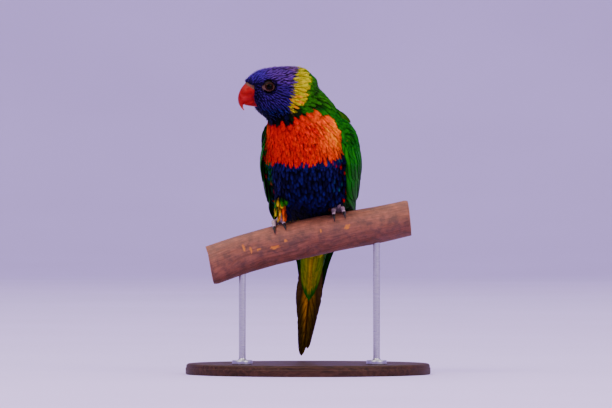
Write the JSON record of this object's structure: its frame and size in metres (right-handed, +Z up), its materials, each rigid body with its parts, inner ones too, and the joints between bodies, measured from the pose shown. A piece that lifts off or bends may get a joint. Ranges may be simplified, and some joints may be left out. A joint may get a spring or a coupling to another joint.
{
  "type": "rainbow lorikeet model",
  "caption": "Life-size perched lorikeet with folded wings and long pointed tail, gripping a short cut branch on a plain display stand",
  "frame": {"origin": "middle of the stand's underside, on the ground", "axes": "+Z up; the bird's chest faces -Y and its left side is towards +X; the branch runs along X"},
  "size_m": [0.18, 0.142, 0.2259],
  "materials": {
    "blue_plumage": "soft, barred with paler shafts",
    "collar_plumage": "soft",
    "breast_plumage": "soft, scalloped",
    "green_plumage": "satin vanes",
    "tail_plumage": "satin vanes",
    "bill": "waxy horn",
    "cere": "dull skin",
    "eye": "wet gloss",
    "foot": "dry scales",
    "claw": "horn",
    "branch_wood": "weathered, bark worn off",
    "stand_wood": "satin stain",
    "stand_steel": "brushed"
  },
  "bodies": {
    "root": {"head": "blue_plumage", "neck": "collar_plumage", "torso": "breast_plumage", "wing_left": "green_plumage", "wing_right": "green_plumage", "tail": "tail_plumage", "thigh_left": "green_plumage", "thigh_right": "green_plumage", "bill_upper": "bill", "bill_lower": "bill", "cere": "cere", "eye_left": "eye", "eye_right": "eye", "foot_left": "foot", "foot_right": "foot", "claw_left_front_inner": "claw", "claw_left_front_outer": "claw", "claw_left_back_inner": "claw", "claw_left_back_outer": "claw", "claw_right_front_inner": "claw", "claw_right_front_outer": "claw", "claw_right_back_inner": "claw", "claw_right_back_outer": "claw", "perch": "branch_wood", "stand_base": "stand_wood", "stand_rod_left": "stand_steel", "stand_rod_right": "stand_steel"}
  },
  "joints": []
}
